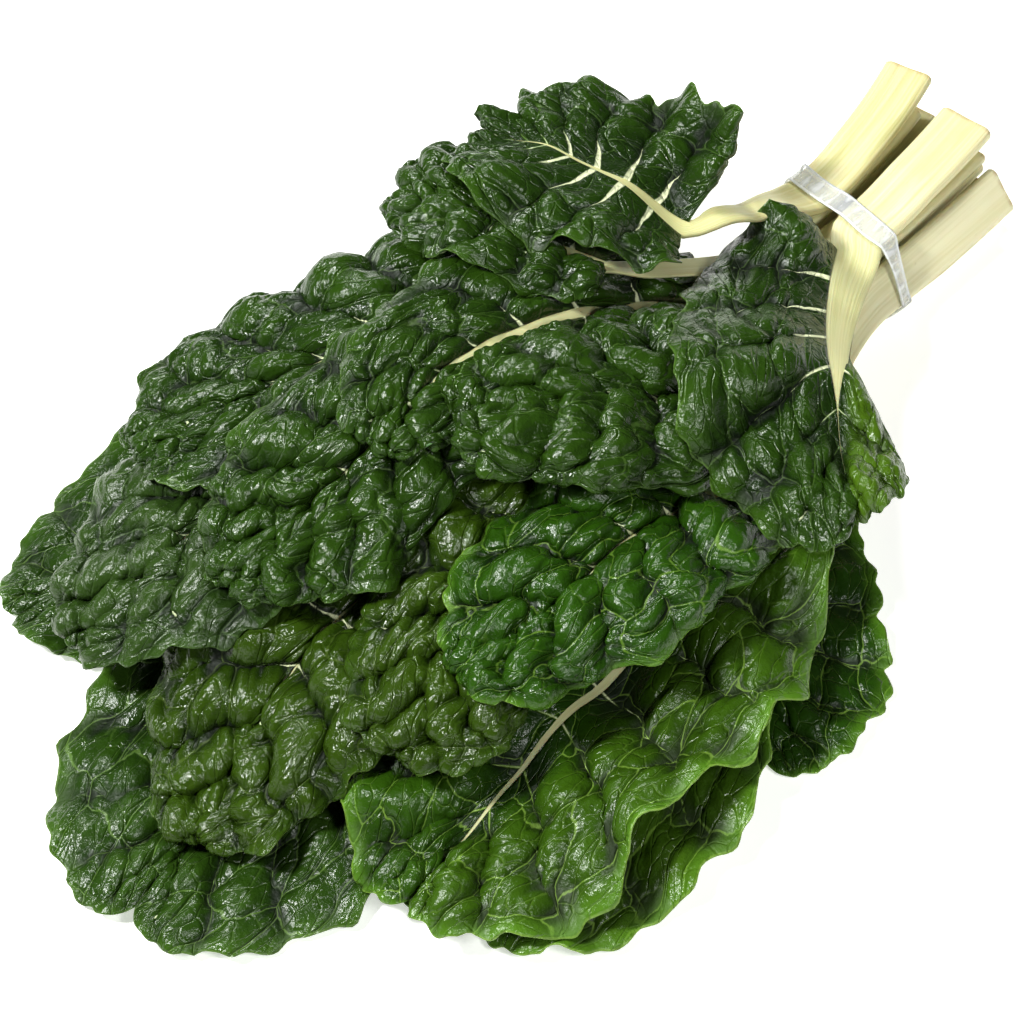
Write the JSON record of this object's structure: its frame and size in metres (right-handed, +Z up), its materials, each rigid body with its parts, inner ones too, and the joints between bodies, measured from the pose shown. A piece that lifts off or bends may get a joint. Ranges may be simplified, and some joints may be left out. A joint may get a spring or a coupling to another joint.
{
  "type": "chard bunch",
  "caption": "Bunch of white-stemmed savoy chard lying on its side, puckered dark green leaves fanned out, pale stems held by a clear band.",
  "frame": {"origin": "on the surface that the bunch lies on, under the middle of its footprint", "axes": "+X along the bunch towards the cut ends of the stems, +Z up, +Y across it"},
  "size_m": [0.47, 0.2898, 0.0971],
  "materials": {
    "leaf_blade": "waxy, glossy, puckered leaf",
    "leaf_stalk": "smooth, finely ridged, satin",
    "band": "clear, glossy"
  },
  "bodies": {
    "root": {"leaf_01_blade": "leaf_blade", "leaf_01_stalk": "leaf_stalk", "leaf_02_blade": "leaf_blade", "leaf_02_stalk": "leaf_stalk", "leaf_03_blade": "leaf_blade", "leaf_03_stalk": "leaf_stalk", "leaf_04_blade": "leaf_blade", "leaf_04_stalk": "leaf_stalk", "leaf_05_blade": "leaf_blade", "leaf_05_stalk": "leaf_stalk", "leaf_06_blade": "leaf_blade", "leaf_06_stalk": "leaf_stalk", "leaf_07_blade": "leaf_blade", "leaf_07_stalk": "leaf_stalk", "leaf_08_blade": "leaf_blade", "leaf_08_stalk": "leaf_stalk", "leaf_09_blade": "leaf_blade", "leaf_09_stalk": "leaf_stalk", "leaf_10_blade": "leaf_blade", "leaf_10_stalk": "leaf_stalk", "leaf_11_blade": "leaf_blade", "leaf_11_stalk": "leaf_stalk", "leaf_12_blade": "leaf_blade", "leaf_12_stalk": "leaf_stalk", "leaf_13_blade": "leaf_blade", "leaf_13_stalk": "leaf_stalk", "leaf_14_blade": "leaf_blade", "leaf_14_stalk": "leaf_stalk", "leaf_15_blade": "leaf_blade", "leaf_15_stalk": "leaf_stalk", "leaf_16_blade": "leaf_blade", "leaf_16_stalk": "leaf_stalk", "band": "band"}
  },
  "joints": []
}
